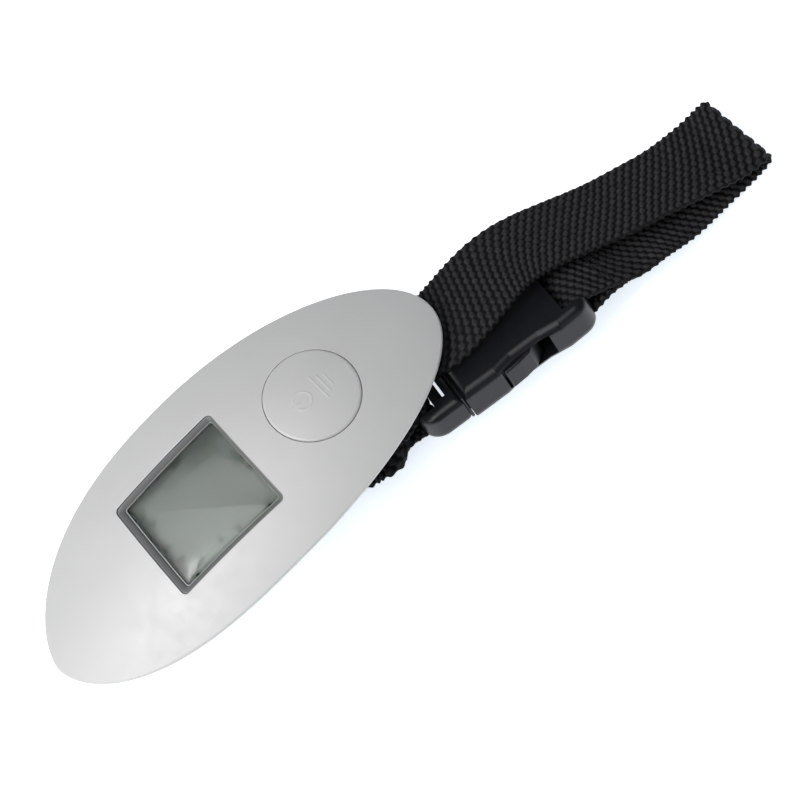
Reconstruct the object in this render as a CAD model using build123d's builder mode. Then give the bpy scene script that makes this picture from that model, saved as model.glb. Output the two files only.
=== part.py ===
from build123d import *
import os
from math import atan2, cos, degrees, pi, radians, sin, sqrt

os.makedirs("parts", exist_ok=True)

# Digital luggage scale, lying on its back.  Millimetres.
# +X runs along the oval body towards the strap's far end, +Y across it, +Z out of the face.
# The origin is on the flat of the back, straight below the middle of the oval.

# ---------------------------------------------------------------- driving dimensions
half_length = 55.0
half_width = 23.45
apex_z = 32.0                 # highest point of the arched face above the flat of the back
arch_radius = 131.0           # curve of the face along X
crown_radius = 73.0           # curve of the face across Y
blunt_end = (1.96, 2.03)      # exponents of the outline at the strap end
fuller_end = (2.65, 1.69)     # exponents of the outline at the display end

cover_wall = 2.0
rim_height = 2.6              # edge of the front cover, measured down from the face
parting_radius = 187.5        # curve of the line where the two shells meet
shell_wall = 1.8
shell_inset = 0.9             # how far the rear shell sits inside the cover's outline
hull_half_length = 52.5
hull_stations = (-52.5, -46.0, -36.0, -24.0, -10.0, 5.0, 20.0, 34.0, 45.0, 52.5)
keel_flat = (23.0, 12.0)      # the back is flat this far towards the display end and the strap end
keel_end_z = 17.0
keel_dip = 0.6                # the hull is drawn this much too deep and cut off flat
chine_share = 0.66            # shape of the hull's section, as shares of its half width
flat_share = 0.46

window_edge = [(-24.0, -11.8), (4.9, -12.6), (5.5, 13.0), (-22.9, 12.8)]   # corners of the display window
window_corner = 1.2
lens_corner = 0.6
bezel_slope_width = 1.4       # sloping border between the face and the lens, along the window's sides
border_share = (1.35, 0.6)    # width of that border at the two ends, as shares of the sides'
bezel_depth = 1.9

button_x = 23.52
button_radius = 10.52
button_gap = 0.2
button_travel = 0.3

pivot_x = 6.0                 # where the load hangs from the hook block
pivot_z = 9.5
ring_wire = 2.6
ring_half = 11.6              # half width of the ring between wire centres
ring_bar = (17.0, 4.2)        # x, z of the bar that carries the webbing

strap_width = 20.0
strap_thickness = 1.4

buckle_start = (36.7, -8.1, 9.75)
buckle_yaw = radians(-8.8)
buckle_roll = radians(25.0)
buckle_width = 27.0
socket_thickness = 9.0
latch_thickness = 7.4
base_length = 10.4            # the half that carries the prongs
mouth_at = 10.9               # where the socket begins, measured along the buckle
window_at = (20.3, 33.0)      # side windows of the socket
buckle_length = 44.4
prong_root_at = 10.75

board_z = (20.6, 21.8)
cell_z = (12.7, 19.0)         # load cell beam, underside and top
battery_x = -13.0
battery_radius = 10.0
screw_places = [(x, y) for x in (-41.0, 41.0) for y in (-5.5, 5.5)]
screw_head_z = {-41.0: 14.2, 41.0: 18.6}   # inner end of each counterbore, by its place along X


# ---------------------------------------------------------------- shared shapes
def outline_half_width(x):
    """Half width of the oval body at a place along X."""
    inner, outer = blunt_end if x >= 0 else fuller_end
    return half_width * max(0.0, 1 - abs(x / half_length) ** inner) ** (1 / outer)


def outline_points(inset, steps=28):
    """Points round the oval, drawn in by the inset."""
    along = (half_length - inset) / half_length
    across = (half_width - inset) / half_width
    points = []
    for step in range(steps):
        turn = 2 * pi * step / steps
        x = half_length * cos(turn)
        side = 1 if turn <= pi else -1
        points.append((along * x, side * across * outline_half_width(x)))
    return points


def parting_z(x):
    """Height of the joint between the two shells."""
    top = apex_z - (crown_radius - sqrt(crown_radius**2 - half_width**2)) - rim_height
    return top - parting_radius + sqrt(parting_radius**2 - x**2)


def face_z(x, y):
    """Height of the arched face."""
    ring = arch_radius - crown_radius + sqrt(crown_radius**2 - y**2)
    return apex_z - arch_radius + sqrt(ring**2 - x**2)


def block(low, high, mode=Mode.ADD):
    """A box between two corners, added to the part being built."""
    size = [high[i] - low[i] for i in range(3)]
    centre = [(high[i] + low[i]) / 2 for i in range(3)]
    with Locations(tuple(centre)):
        Box(*size, mode=mode)


def oval_prism(inset, bottom, top):
    """The oval outline as an upright prism."""
    with BuildPart() as prism:
        with BuildSketch(Plane.XY.offset(bottom)):
            with BuildLine():
                Spline(*outline_points(inset), periodic=True)
            make_face()
        extrude(amount=top - bottom)
    return prism.part


def dome(depth):
    """The space below the arched face, whose top is the face lowered by the depth."""
    reach = 30.0
    radius = crown_radius - depth
    side = apex_z - depth - radius + sqrt(radius**2 - reach**2)
    with BuildPart() as under_face:
        with BuildSketch(Plane.YZ):
            with BuildLine():
                ThreePointArc((-reach, side), (0, apex_z - depth), (reach, side))
                Polyline((reach, side), (reach, 5), (-reach, 5), (-reach, side))
            make_face()
        revolve(axis=Axis((0, 0, apex_z - arch_radius), (0, 1, 0)), revolution_arc=360)
    return under_face.part


def below_parting(reach=60.0):
    """Everything under the joint between the shells."""
    with BuildPart() as lower:
        with BuildSketch(Plane.XZ):
            with BuildLine():
                ThreePointArc((-reach, parting_z(reach)), (0, parting_z(0)), (reach, parting_z(reach)))
                Polyline((reach, parting_z(reach)), (reach, -5), (-reach, -5), (-reach, parting_z(reach)))
            make_face()
        extrude(amount=40, both=True)
    return lower.part


def window_corners(inset):
    """Corners of the display window, drawn in by the inset along its sides."""
    corners = []
    for x, y in window_edge:
        shift = border_share[0] * inset if x < 0 else -border_share[1] * inset
        corners.append((x + shift, y + inset if y < 0 else y - inset))
    return corners


def keel_z(x):
    """Height of the back along its middle: flat, then rising smoothly to both ends."""
    flat_to = keel_flat[0] if x < 0 else keel_flat[1]
    share = min(1.0, max(0.0, (abs(x) - flat_to) / (hull_half_length - flat_to)))
    return keel_end_z * (0.5 - 0.5 * cos(pi * share)) - keel_dip


def hull(inset, rise):
    """Boat-shaped body of the rear shell, drawn in by the inset and raised past the joint by the rise."""
    with BuildPart() as boat:
        for x in hull_stations:
            rim = (outline_half_width(x) * (half_width - shell_inset) / half_width) - inset
            top = parting_z(x) + rise
            low = min(keel_z(x) + inset, parting_z(x) - 1.0)
            knee = chine_share * rim
            flat = flat_share * rim
            with BuildSketch(Plane.YZ.offset(x)):
                with BuildLine():
                    Line((-rim, top), (rim, top))
                    Bezier((rim, top), (knee, low + 0.25 * (top - low)), (knee, low), (flat, low))
                    Line((flat, low), (-flat, low))
                    Bezier((-flat, low), (-knee, low), (-knee, low + 0.25 * (top - low)), (-rim, top))
                make_face()
        loft()
    return boat.part


# ---------------------------------------------------------------- front cover
boss_top = face_z(41.0, 5.5) - 1.2

with BuildPart() as front_cover:
    add(oval_prism(0.0, 10.0, apex_z + 2))
    add(dome(0.0), mode=Mode.INTERSECT)
    add(below_parting(), mode=Mode.SUBTRACT)
    add(oval_prism(shell_wall, 8.0, apex_z + 1) & dome(cover_wall), mode=Mode.SUBTRACT)
    with BuildSketch(Plane.XY.offset(apex_z + 1)):
        with BuildLine():
            Polyline(*window_corners(0.0), close=True)
        make_face()
        fillet(vertices(), radius=window_corner)
    extrude(amount=-14, mode=Mode.SUBTRACT)
    with BuildSketch(Plane.XY.offset(apex_z + 1)):
        with Locations((button_x, 0)):
            Circle(button_radius + button_gap)
    extrude(amount=-14, mode=Mode.SUBTRACT)
    for x, y in screw_places:
        with BuildSketch(Plane.XY.offset(parting_z(x) + 0.1)):
            with Locations((x, y)):
                Circle(2.2)
        extrude(amount=boss_top - parting_z(x) - 0.1)
    for x, y in screw_places:
        with BuildSketch(Plane.XY.offset(10)):
            with Locations((x, y)):
                Circle(0.9)
        extrude(amount=boss_top - 1.2 - 10, mode=Mode.SUBTRACT)

front_cover.part.label = "front_cover"
export_step(front_cover.part, "parts/front_cover.step")

# ---------------------------------------------------------------- display: bezel, lens, glass
bezel_floor_z = face_z(*window_edge[0]) - bezel_depth

with BuildPart() as window_bezel:
    with BuildSketch(Plane.XY.offset(bezel_floor_z - 0.9)):
        with BuildLine():
            Polyline(*window_corners(0.12), close=True)
        make_face()
        fillet(vertices(), radius=window_corner - 0.1)
    extrude(amount=6)
    add(dome(0.25), mode=Mode.INTERSECT)
    with BuildSketch(Plane.XY.offset(bezel_floor_z - 2)):
        with BuildLine():
            Polyline(*window_corners(bezel_slope_width), close=True)
        make_face()
        fillet(vertices(), radius=lens_corner)
    extrude(amount=10, mode=Mode.SUBTRACT)

window_bezel.part.label = "window_bezel"
export_step(window_bezel.part, "parts/window_bezel.step")

with BuildPart() as display_window:
    with BuildSketch(Plane.XY.offset(bezel_floor_z - 0.9)):
        with BuildLine():
            Polyline(*window_corners(bezel_slope_width + 0.15), close=True)
        make_face()
        fillet(vertices(), radius=lens_corner)
    extrude(amount=6)
    add(dome(1.1), mode=Mode.INTERSECT)

display_window.part.label = "display_window"
export_step(display_window.part, "parts/display_window.step")

glass_top = bezel_floor_z - 1.15
glass_x = (-22.5, 4.9)
glass_y = 12.2
glass_thickness = 2.2
strip_height = glass_top - glass_thickness - board_z[1]

with BuildPart() as lcd_panel:
    block((glass_x[0], -glass_y, glass_top - glass_thickness), (glass_x[1], glass_y, glass_top))
    block((glass_x[0] - 0.1, glass_y - 2.4, glass_top - 1.1), (glass_x[1] + 0.1, glass_y + 0.1, glass_top + 0.1),
          mode=Mode.SUBTRACT)

lcd_panel.part.label = "lcd_panel"
export_step(lcd_panel.part, "parts/lcd_panel.step")

with BuildPart() as lcd_frame:
    block((glass_x[0] - 1.6, -glass_y - 1.6, board_z[1]), (glass_x[1] + 1.6, glass_y + 1.6, glass_top - 0.2))
    block((glass_x[0] - 0.1, -glass_y - 0.1, board_z[1] - 1), (glass_x[1] + 0.1, glass_y + 0.1, glass_top + 1),
          mode=Mode.SUBTRACT)

lcd_frame.part.label = "lcd_frame"
export_step(lcd_frame.part, "parts/lcd_frame.step")

with BuildPart() as zebra_strips:
    for side in (-1, 1):
        with Locations(((glass_x[0] + glass_x[1]) / 2, side * (glass_y - 1.4), board_z[1] + strip_height / 2)):
            Box(22.0, 1.8, strip_height)

zebra_strips.part.label = "zebra_strips"
export_step(zebra_strips.part, "parts/zebra_strips.step")

# ---------------------------------------------------------------- circuit board and switch
board_x = (-27.0, 32.0)
board_screw_places = [(29.5, -9.5), (29.5, 9.5)]

with BuildPart() as circuit_board:
    add(oval_prism(5.4, board_z[0], board_z[1]))
    block((board_x[0], -20, board_z[0] - 1), (board_x[1], 20, board_z[1] + 1), mode=Mode.INTERSECT)
    for x, y in board_screw_places:
        with BuildSketch(Plane.XY.offset(board_z[0] - 1)):
            with Locations((x, y)):
                Circle(1.2)
        extrude(amount=4, mode=Mode.SUBTRACT)

circuit_board.part.label = "circuit_board"
export_step(circuit_board.part, "parts/circuit_board.step")

with BuildPart() as controller_chip:
    block((10.5, -4.5, board_z[0] - 1.3), (19.5, 4.5, board_z[0]))

controller_chip.part.label = "controller_chip"
export_step(controller_chip.part, "parts/controller_chip.step")

switch_top = board_z[1] + 2.0
plunger_top = switch_top + 0.9

with BuildPart() as tact_switch:
    block((button_x - 3, -3, board_z[1]), (button_x + 3, 3, switch_top))
    with BuildSketch(Plane.XY.offset(board_z[1] + 1.0)):
        with Locations((button_x, 0)):
            Circle(1.85)
    extrude(amount=2, mode=Mode.SUBTRACT)

tact_switch.part.label = "tact_switch"
export_step(tact_switch.part, "parts/tact_switch.step")

with BuildPart() as switch_plunger:
    with BuildSketch(Plane.XY.offset(board_z[1] + 1.0 + button_travel + 0.1)):
        with Locations((button_x, 0)):
            Circle(1.75)
    extrude(amount=plunger_top - board_z[1] - 1.1 - button_travel)

switch_plunger.part.label = "switch_plunger"
export_step(switch_plunger.part, "parts/switch_plunger.step")

flange_z = face_z(button_x + button_radius + 1.0, 0.0) - cover_wall - 0.25

with BuildPart() as power_button:
    with BuildSketch(Plane.XY.offset(flange_z - 0.8)):
        with Locations((button_x, 0)):
            Circle(button_radius)
    extrude(amount=8)
    add(dome(-0.35), mode=Mode.INTERSECT)
    fillet(edges().group_by(Axis.Z)[-1], radius=0.45)
    with BuildSketch(Plane.XY.offset(flange_z - 0.8)):
        with Locations((button_x, 0)):
            Circle(button_radius + 1.0)
    extrude(amount=0.8)
    with BuildSketch(Plane.XY.offset(flange_z - 0.9)):
        with Locations((button_x, 0)):
            Circle(button_radius - 1.4)
    extrude(amount=1.7, mode=Mode.SUBTRACT)
    with BuildSketch(Plane.XY.offset(plunger_top + 0.02)):
        with Locations((button_x, 0)):
            Circle(2.2)
    extrude(amount=flange_z + 0.8 - plunger_top)

power_button.part.label = "power_button"
export_step(power_button.part, "parts/power_button.step")

# ---------------------------------------------------------------- rear shell
pocket_x = 3.0
pocket_wall = 1.2
pocket_half = 13.4
cheek_low = 4.0               # the cheeks beside the ring stop this far above the flat
cheek_end = 20.0
# underside of the shell over the ring and the folded strap
pocket_roof = [(pocket_x, 11.2), (12.0, 11.3), (22.0, 13.6), (30.0, 16.4), (40.0, 18.0), (47.0, 18.6), (60.0, 18.6)]
cell_x = (-36.0, 10.5)
post_places = [(-33.5, 0.0), (-28.5, 0.0)]


def under_roof(lift, start):
    """Space below the roof of the strap pocket, raised by the lift."""
    roof = [(start, pocket_roof[0][1] + lift)] + [(x, z + lift) for x, z in pocket_roof[1:]]
    with BuildPart() as space:
        with BuildSketch(Plane.XZ):
            with BuildLine():
                Polyline(*roof, (60.0, -3.0), (start, -3.0), close=True)
            make_face()
        extrude(amount=40, both=True)
    return space.part


with BuildPart() as shell_cavity:
    add(hull(shell_wall, 3.0))
    add(under_roof(pocket_wall, pocket_x - pocket_wall), mode=Mode.SUBTRACT)
    with BuildSketch(Plane.XY.offset(-2)):
        with Locations((battery_x, 0)):
            Circle(battery_radius + 2.1)
    extrude(amount=2 + 8.2, mode=Mode.SUBTRACT)
    for x, y in post_places + screw_places:
        with BuildSketch(Plane.XY.offset(-2)):
            with Locations((x, y)):
                Circle(2.2)
        extrude(amount=2 + (cell_z[0] if y == 0 else parting_z(x)), mode=Mode.SUBTRACT)
    for x, y in board_screw_places:
        with BuildSketch(Plane.XY.offset(-2)):
            with Locations((x, y)):
                Circle(2.0)
        extrude(amount=2 + board_z[0], mode=Mode.SUBTRACT)

# strap pocket: open across the full width below the cheeks, and beyond them
with BuildPart() as strap_pocket:
    add(under_roof(0.0, pocket_x))
    block((pocket_x - 1, -40, cheek_low), (cheek_end, -pocket_half, 40), mode=Mode.SUBTRACT)
    block((pocket_x - 1, pocket_half, cheek_low), (cheek_end, 40, 40), mode=Mode.SUBTRACT)

with BuildPart() as rear_shell:
    add(hull(0.0, 3.0))
    add(below_parting(), mode=Mode.INTERSECT)
    block((-60, -40, 0), (60, 40, 40), mode=Mode.INTERSECT)
    add(shell_cavity.part, mode=Mode.SUBTRACT)
    add(strap_pocket.part, mode=Mode.SUBTRACT)
    # opening for the hook block in the pocket's roof
    block((pocket_x, -6.0, 10.0), (pivot_x + 4.2, 6.0, cell_z[0]), mode=Mode.SUBTRACT)
    # battery chamber with three notches for the cover's lugs
    with BuildSketch(Plane.XY.offset(-1)):
        with Locations((battery_x, 0)):
            Circle(battery_radius + 0.5)
    extrude(amount=1 + 9.0, mode=Mode.SUBTRACT)
    with BuildSketch(Plane.XY.offset(-1)):
        with Locations((battery_x, 0)):
            with PolarLocations(0, 3, start_angle=55):
                with Locations((battery_radius + 0.2, 0)):
                    Rectangle(2.4, 5.0)
    extrude(amount=1 + 3.3, mode=Mode.SUBTRACT)
    with BuildSketch(Plane.XY.offset(1.85)):
        with Locations((battery_x, 0)):
            Circle(battery_radius + 1.3)
    extrude(amount=1.45, mode=Mode.SUBTRACT)
    for x, y in post_places:
        with BuildSketch(Plane.XY.offset(cell_z[0] - 6)):
            with Locations((x, y)):
                Circle(1.2)
        extrude(amount=8, mode=Mode.SUBTRACT)
    for x, y in board_screw_places:
        with BuildSketch(Plane.XY.offset(board_z[0] - 4)):
            with Locations((x, y)):
                Circle(0.8)
        extrude(amount=5, mode=Mode.SUBTRACT)
    for x, y in screw_places:
        with BuildSketch(Plane.XY.offset(5)):
            with Locations((x, y)):
                Circle(1.1)
        extrude(amount=20, mode=Mode.SUBTRACT)
        with BuildSketch(Plane.XY.offset(5)):
            with Locations((x, y)):
                Circle(1.9)
        extrude(amount=screw_head_z[x] - 5, mode=Mode.SUBTRACT)

rear_shell.part.label = "rear_shell"
export_step(rear_shell.part, "parts/rear_shell.step")

with BuildPart() as case_screws:
    for x, y in screw_places:
        head_z = screw_head_z[x]
        with BuildSketch(Plane.XY.offset(head_z - 1.1)):
            with Locations((x, y)):
                Circle(1.8)
        extrude(amount=1.1)
        with BuildSketch(Plane.XY.offset(head_z)):
            with Locations((x, y)):
                Circle(0.9)
        extrude(amount=boss_top - 1.3 - head_z)
        with BuildSketch(Plane.XY.offset(head_z - 1.2)):
            with Locations((x, y)):
                Rectangle(2.2, 0.5)
                Rectangle(0.5, 2.2)
        extrude(amount=0.7, mode=Mode.SUBTRACT)

case_screws.part.label = "case_screws"
export_step(case_screws.part, "parts/case_screws.step")

with BuildPart() as board_screws:
    for x, y in board_screw_places:
        with BuildSketch(Plane.XY.offset(board_z[1])):
            with Locations((x, y)):
                Circle(1.6)
        extrude(amount=1.0)
        with BuildSketch(Plane.XY.offset(board_z[0] - 3.5)):
            with Locations((x, y)):
                Circle(0.8)
        extrude(amount=3.5 + board_z[1] - board_z[0])

board_screws.part.label = "board_screws"
export_step(board_screws.part, "parts/board_screws.step")

# ---------------------------------------------------------------- battery
with BuildPart() as coin_cell:
    with BuildSketch(Plane.XY.offset(3.35)):
        with Locations((battery_x, 0)):
            Circle(battery_radius)
    extrude(amount=2.6)
    with BuildSketch(Plane.XY.offset(5.95)):
        with Locations((battery_x, 0)):
            Circle(battery_radius - 1.4)
    extrude(amount=0.6)

coin_cell.part.label = "coin_cell"
export_step(coin_cell.part, "parts/coin_cell.step")

with BuildPart() as battery_cover:
    with BuildSketch(Plane.XY):
        with Locations((battery_x, 0)):
            Circle(battery_radius + 0.3)
    extrude(amount=3.2)
    with BuildSketch(Plane.XY.offset(1.95)):
        with Locations((battery_x, 0)):
            with PolarLocations(0, 3, start_angle=5):
                with Locations((battery_radius, 0)):
                    Rectangle(2.0, 4.4)
    extrude(amount=1.25)
    with BuildSketch(Plane.XY.offset(1.2)):
        with Locations((battery_x, 0)):
            Circle(battery_radius - 1.3)
    extrude(amount=2.1, mode=Mode.SUBTRACT)
    with BuildSketch(Plane.XY.offset(-0.1)):
        with Locations((battery_x, 0)):
            SlotOverall(11.0, 1.8)
    extrude(amount=0.7, mode=Mode.SUBTRACT)

battery_cover.part.label = "battery_cover"
export_step(battery_cover.part, "parts/battery_cover.step")

lead_y = 7.0
tail_z = (8.4, 8.8)
negative_x = battery_x + 8.5
positive_x = battery_x - battery_radius - 0.2

with BuildPart() as contact_negative:
    block((battery_x - 3, -2.2, 6.6), (negative_x + 0.2, 2.2, 6.9))
    block((negative_x - 0.2, -2.2, 6.6), (negative_x + 0.2, 2.2, tail_z[1]))
    block((negative_x - 1.0, -2.2, tail_z[0]), (negative_x + 0.2, lead_y + 0.8, tail_z[1]))

contact_negative.part.label = "contact_negative"
export_step(contact_negative.part, "parts/contact_negative.step")

with BuildPart() as contact_positive:
    block((positive_x - 0.15, -0.9, 3.5), (positive_x + 0.15, 0.9, tail_z[1]))
    block((positive_x - 0.15, -0.9, tail_z[0]), (positive_x + 1.0, lead_y + 0.8, tail_z[1]))

contact_positive.part.label = "contact_positive"
export_step(contact_positive.part, "parts/contact_positive.step")

with BuildPart() as battery_leads:
    for x in (negative_x - 0.4, positive_x + 0.4):
        with BuildSketch(Plane.XY.offset(tail_z[1])):
            with Locations((x, lead_y)):
                Circle(0.5)
        extrude(amount=board_z[0] - tail_z[1])

battery_leads.part.label = "battery_leads"
export_step(battery_leads.part, "parts/battery_leads.step")

# ---------------------------------------------------------------- load cell and hook block
hook_screw_places = [(pivot_x + 0.3, -2.6), (pivot_x + 0.3, 2.6)]
hook_top = cell_z[0]

with BuildPart() as load_cell:
    block((cell_x[0], -4.5, cell_z[0]), (cell_x[1], 4.5, cell_z[1]))
    for x in (-17.5, -8.5):
        with BuildSketch(Plane.XZ):
            with Locations((x, (cell_z[0] + cell_z[1]) / 2)):
                Circle(2.9)
        extrude(amount=10, both=True, mode=Mode.SUBTRACT)
    with BuildSketch(Plane.XZ):
        with Locations((-13.0, (cell_z[0] + cell_z[1]) / 2)):
            Rectangle(9.0, 2.0)
    extrude(amount=10, both=True, mode=Mode.SUBTRACT)
    for x, y in post_places:
        with BuildSketch(Plane.XY.offset(cell_z[0] - 1)):
            with Locations((x, y)):
                Circle(1.5)
        extrude(amount=10, mode=Mode.SUBTRACT)
    for x, y in hook_screw_places:
        with BuildSketch(Plane.XY.offset(cell_z[0] - 1)):
            with Locations((x, y)):
                Circle(0.95)
        extrude(amount=10, mode=Mode.SUBTRACT)

load_cell.part.label = "load_cell"
export_step(load_cell.part, "parts/load_cell.step")

with BuildPart() as strain_gauges:
    for x in (-17.5, -8.5):
        block((x - 2.6, -2.0, cell_z[1]), (x + 2.6, 2.0, cell_z[1] + 0.25))
        block((x - 2.6, -2.0, cell_z[0] - 0.25), (x + 2.6, 2.0, cell_z[0]))

strain_gauges.part.label = "strain_gauges"
export_step(strain_gauges.part, "parts/strain_gauges.step")

with BuildPart() as gauge_leads:
    for x in (-16.0, -14.0, -12.0, -10.0):
        with BuildSketch(Plane.XY.offset(cell_z[0] + 3.0)):
            with Locations((x, 4.95)):
                Circle(0.4)
        extrude(amount=board_z[0] - cell_z[0] - 3.0)

gauge_leads.part.label = "gauge_leads"
export_step(gauge_leads.part, "parts/gauge_leads.step")

with BuildPart() as cell_screws:
    for x, y in post_places:
        with BuildSketch(Plane.XY.offset(cell_z[1])):
            with Locations((x, y)):
                Circle(2.3)
        extrude(amount=1.3)
        with BuildSketch(Plane.XY.offset(cell_z[0] - 5)):
            with Locations((x, y)):
                Circle(1.2)
        extrude(amount=5 + cell_z[1] - cell_z[0])

cell_screws.part.label = "cell_screws"
export_step(cell_screws.part, "parts/cell_screws.step")

with BuildPart() as hook_block:
    block((pivot_x - 2.8, -5.2, pivot_z - 2.7), (pivot_x + 3.4, 5.2, hook_top))
    fillet(edges().filter_by(Axis.Y).group_by(Axis.Z)[0], radius=2.0)
    with BuildSketch(Plane.XZ):
        with Locations((pivot_x, pivot_z)):
            Circle(ring_wire / 2 + 0.05)
    extrude(amount=10, both=True, mode=Mode.SUBTRACT)

hook_block.part.label = "hook_block"
export_step(hook_block.part, "parts/hook_block.step")

with BuildPart() as hook_screws:
    for x, y in hook_screw_places:
        with BuildSketch(Plane.XY.offset(cell_z[1])):
            with Locations((x, y)):
                Circle(1.7)
        extrude(amount=1.0)
        with BuildSketch(Plane.XY.offset(hook_top)):
            with Locations((x, y)):
                Circle(0.95)
        extrude(amount=cell_z[1] - hook_top)

hook_screws.part.label = "hook_screws"
export_step(hook_screws.part, "parts/hook_screws.step")

# ---------------------------------------------------------------- strap ring
ring_slope = atan2(ring_bar[1] - pivot_z, ring_bar[0] - pivot_x)
ring_length = sqrt((ring_bar[0] - pivot_x) ** 2 + (ring_bar[1] - pivot_z) ** 2)
ring_plane = Plane(
    origin=(pivot_x, 0, pivot_z),
    x_dir=(cos(ring_slope), 0, sin(ring_slope)),
    z_dir=(-sin(ring_slope), 0, cos(ring_slope)),
)

with BuildSketch(ring_plane) as ring_loop:
    with Locations((ring_length / 2, 0)):
        RectangleRounded(ring_length, 2 * ring_half, 2.4)

with BuildPart() as strap_ring:
    ring_path = ring_loop.sketch.faces()[0].outer_wire()
    with BuildSketch(Plane(origin=ring_path @ 0, z_dir=ring_path % 0)):
        Circle(ring_wire / 2)
    sweep(path=ring_path)

strap_ring.part.label = "strap_ring"
export_step(strap_ring.part, "parts/strap_ring.step")

# ---------------------------------------------------------------- webbing
# (x, y, z, roll in degrees) along the middle of the webbing; roll lifts the -Y edge
wrap_radius = ring_wire / 2 + 0.06
leave_height = wrap_radius + strap_thickness / 2
upper_route = [
    (ring_bar[0], 0.0, ring_bar[1] + leave_height, 0.0),
    (ring_bar[0] + 0.8, 0.0, ring_bar[1] + leave_height, 0.0),
    (24.0, 1.0, 9.6, 2.0),
    (32.0, 2.4, 13.6, 6.0),
    (40.0, 1.0, 15.3, 8.5),
    (46.0, -2.4, 15.8, 10.0),
    (52.0, -4.2, 16.2, 11.5),
    (58.0, -4.2, 16.4, 13.0),
    (64.0, -3.5, 16.1, 14.5),
    (70.0, -2.8, 15.3, 17.5),
    (76.0, -3.0, 14.1, 18.5),
]
fold_x = 129.0
fold_radius = 1.9
fold_z = strap_thickness / 2 + fold_radius
buckle_forward = Vector(cos(buckle_yaw), sin(buckle_yaw), 0)
buckle_side = Vector(-sin(buckle_yaw), cos(buckle_yaw), 0)
buckle_normal = buckle_side * sin(buckle_roll) + Vector(0, 0, cos(buckle_roll))
buckle_plane = Plane(origin=buckle_start, x_dir=buckle_forward, z_dir=buckle_normal)
# the buckle seen from its side: X along it, Y out of its broad face
buckle_profile = Plane(origin=buckle_start, x_dir=buckle_forward, z_dir=-buckle_plane.y_dir)

bar_width = 2.4
bar_half = 1.5                # half thickness of the bars that the webbing goes round
eye_inner = bar_half + 0.1
eye_outer = eye_inner + strap_thickness
eye_tail = 6.0                # sewn length beside a bar
latch_bar = bar_width / 2
socket_bar = buckle_length - bar_width / 2


def route_point(along):
    """Route entry for webbing in line with the buckle's middle plane."""
    place = buckle_plane.from_local_coords((along, 0, 0))
    return (place.X, place.Y, place.Z, degrees(buckle_roll))


short_route = [
    (ring_bar[0], 0.0, ring_bar[1] - leave_height, 0.0),
    (ring_bar[0] + 0.8, 0.0, ring_bar[1] - leave_height, 0.0),
    (21.0, -1.4, 2.6, 4.0),
    (25.5, -4.4, 4.6, 13.0),
    (29.4, -6.6, 7.6, 22.0),
    route_point(latch_bar - eye_tail),
]
far_route = [
    (76.4, -3.1, 14.0, 18.5),
    (84.0, -4.9, 12.2, 18.5),
    (91.0, -7.1, 10.4, 19.5),
    (98.0, -9.4, 9.0, 20.0),
    (105.0, -11.2, 7.9, 20.0),
    (112.0, -13.1, 7.0, 18.5),
    (119.0, -14.6, 6.2, 12.0),
    (125.0, -15.4, 5.2, 4.0),
]
far_route += [
    (fold_x + fold_radius * cos(turn), -15.6, fold_z + fold_radius * sin(turn), 0.0)
    for turn in (pi / 2, pi / 4, 0.0, -pi / 4, -pi / 2)
]
far_route += [
    (122.0, -15.9, 0.95, 1.0),
    (114.0, -16.3, 1.8, 5.0),
    (106.0, -16.9, 3.6, 11.0),
    (98.0, -17.0, 6.0, 18.0),
    (90.0, -16.8, 8.4, 23.0),
    route_point(socket_bar + eye_tail),
]


def section_plane(route, index):
    """Plane across the webbing at one point of its route."""
    x, y, z, roll = route[index]
    before = Vector(*route[max(index - 1, 0)][:3])
    after = Vector(*route[min(index + 1, len(route) - 1)][:3])
    across = Vector(0, cos(radians(roll)), -sin(radians(roll)))
    forward = after - before
    forward = (forward - across * forward.dot(across)).normalized()
    return Plane(origin=(x, y, z), x_dir=across, z_dir=forward)


def ribbon(route):
    """Webbing of full width along a route."""
    with BuildPart() as strand:
        for index in range(len(route)):
            with BuildSketch(section_plane(route, index)):
                Rectangle(strap_width, strap_thickness)
        loft(ruled=True)
    return strand.part


def webbing_eye(bar, direction):
    """Webbing doubled and sewn round a buckle bar, leaving it in the direction of the sign."""
    nose = bar_width / 2 + 0.15
    with BuildPart() as eye:
        with BuildSketch(buckle_profile):
            with BuildLine():
                Polyline(
                    (bar + direction * eye_tail, strap_thickness / 2),
                    (bar + direction * nose, eye_outer),
                    (bar - direction * nose, eye_outer),
                    (bar - direction * (nose + strap_thickness), eye_inner),
                    (bar - direction * (nose + strap_thickness), -eye_inner),
                    (bar - direction * nose, -eye_outer),
                    (bar + direction * nose, -eye_outer),
                    (bar + direction * eye_tail, -strap_thickness / 2),
                    close=True,
                )
            make_face()
            with Locations((bar, 0)):
                Rectangle(2 * nose, 2 * eye_inner, mode=Mode.SUBTRACT)
        extrude(amount=strap_width / 2, both=True)
    return eye.part


with BuildPart() as webbing_wrap:
    with BuildSketch(Plane.XZ.offset(-strap_width / 2)):
        with Locations(ring_bar):
            Circle(wrap_radius + strap_thickness)
            Circle(wrap_radius, mode=Mode.SUBTRACT)
        with Locations((ring_bar[0] + 5, ring_bar[1])):
            Rectangle(10, 10, mode=Mode.SUBTRACT)
    extrude(amount=strap_width)

webbing_wrap.part.label = "webbing_wrap"
export_step(webbing_wrap.part, "parts/webbing_wrap.step")

with BuildPart() as webbing_upper:
    add(ribbon(upper_route))

webbing_upper.part.label = "webbing_upper"
export_step(webbing_upper.part, "parts/webbing_upper.step")

with BuildPart() as webbing_short:
    add(ribbon(short_route))
    add(webbing_eye(latch_bar, -1))

webbing_short.part.label = "webbing_short"
export_step(webbing_short.part, "parts/webbing_short.step")

with BuildPart() as webbing_far:
    add(ribbon(far_route))
    add(webbing_eye(socket_bar, 1))

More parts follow.
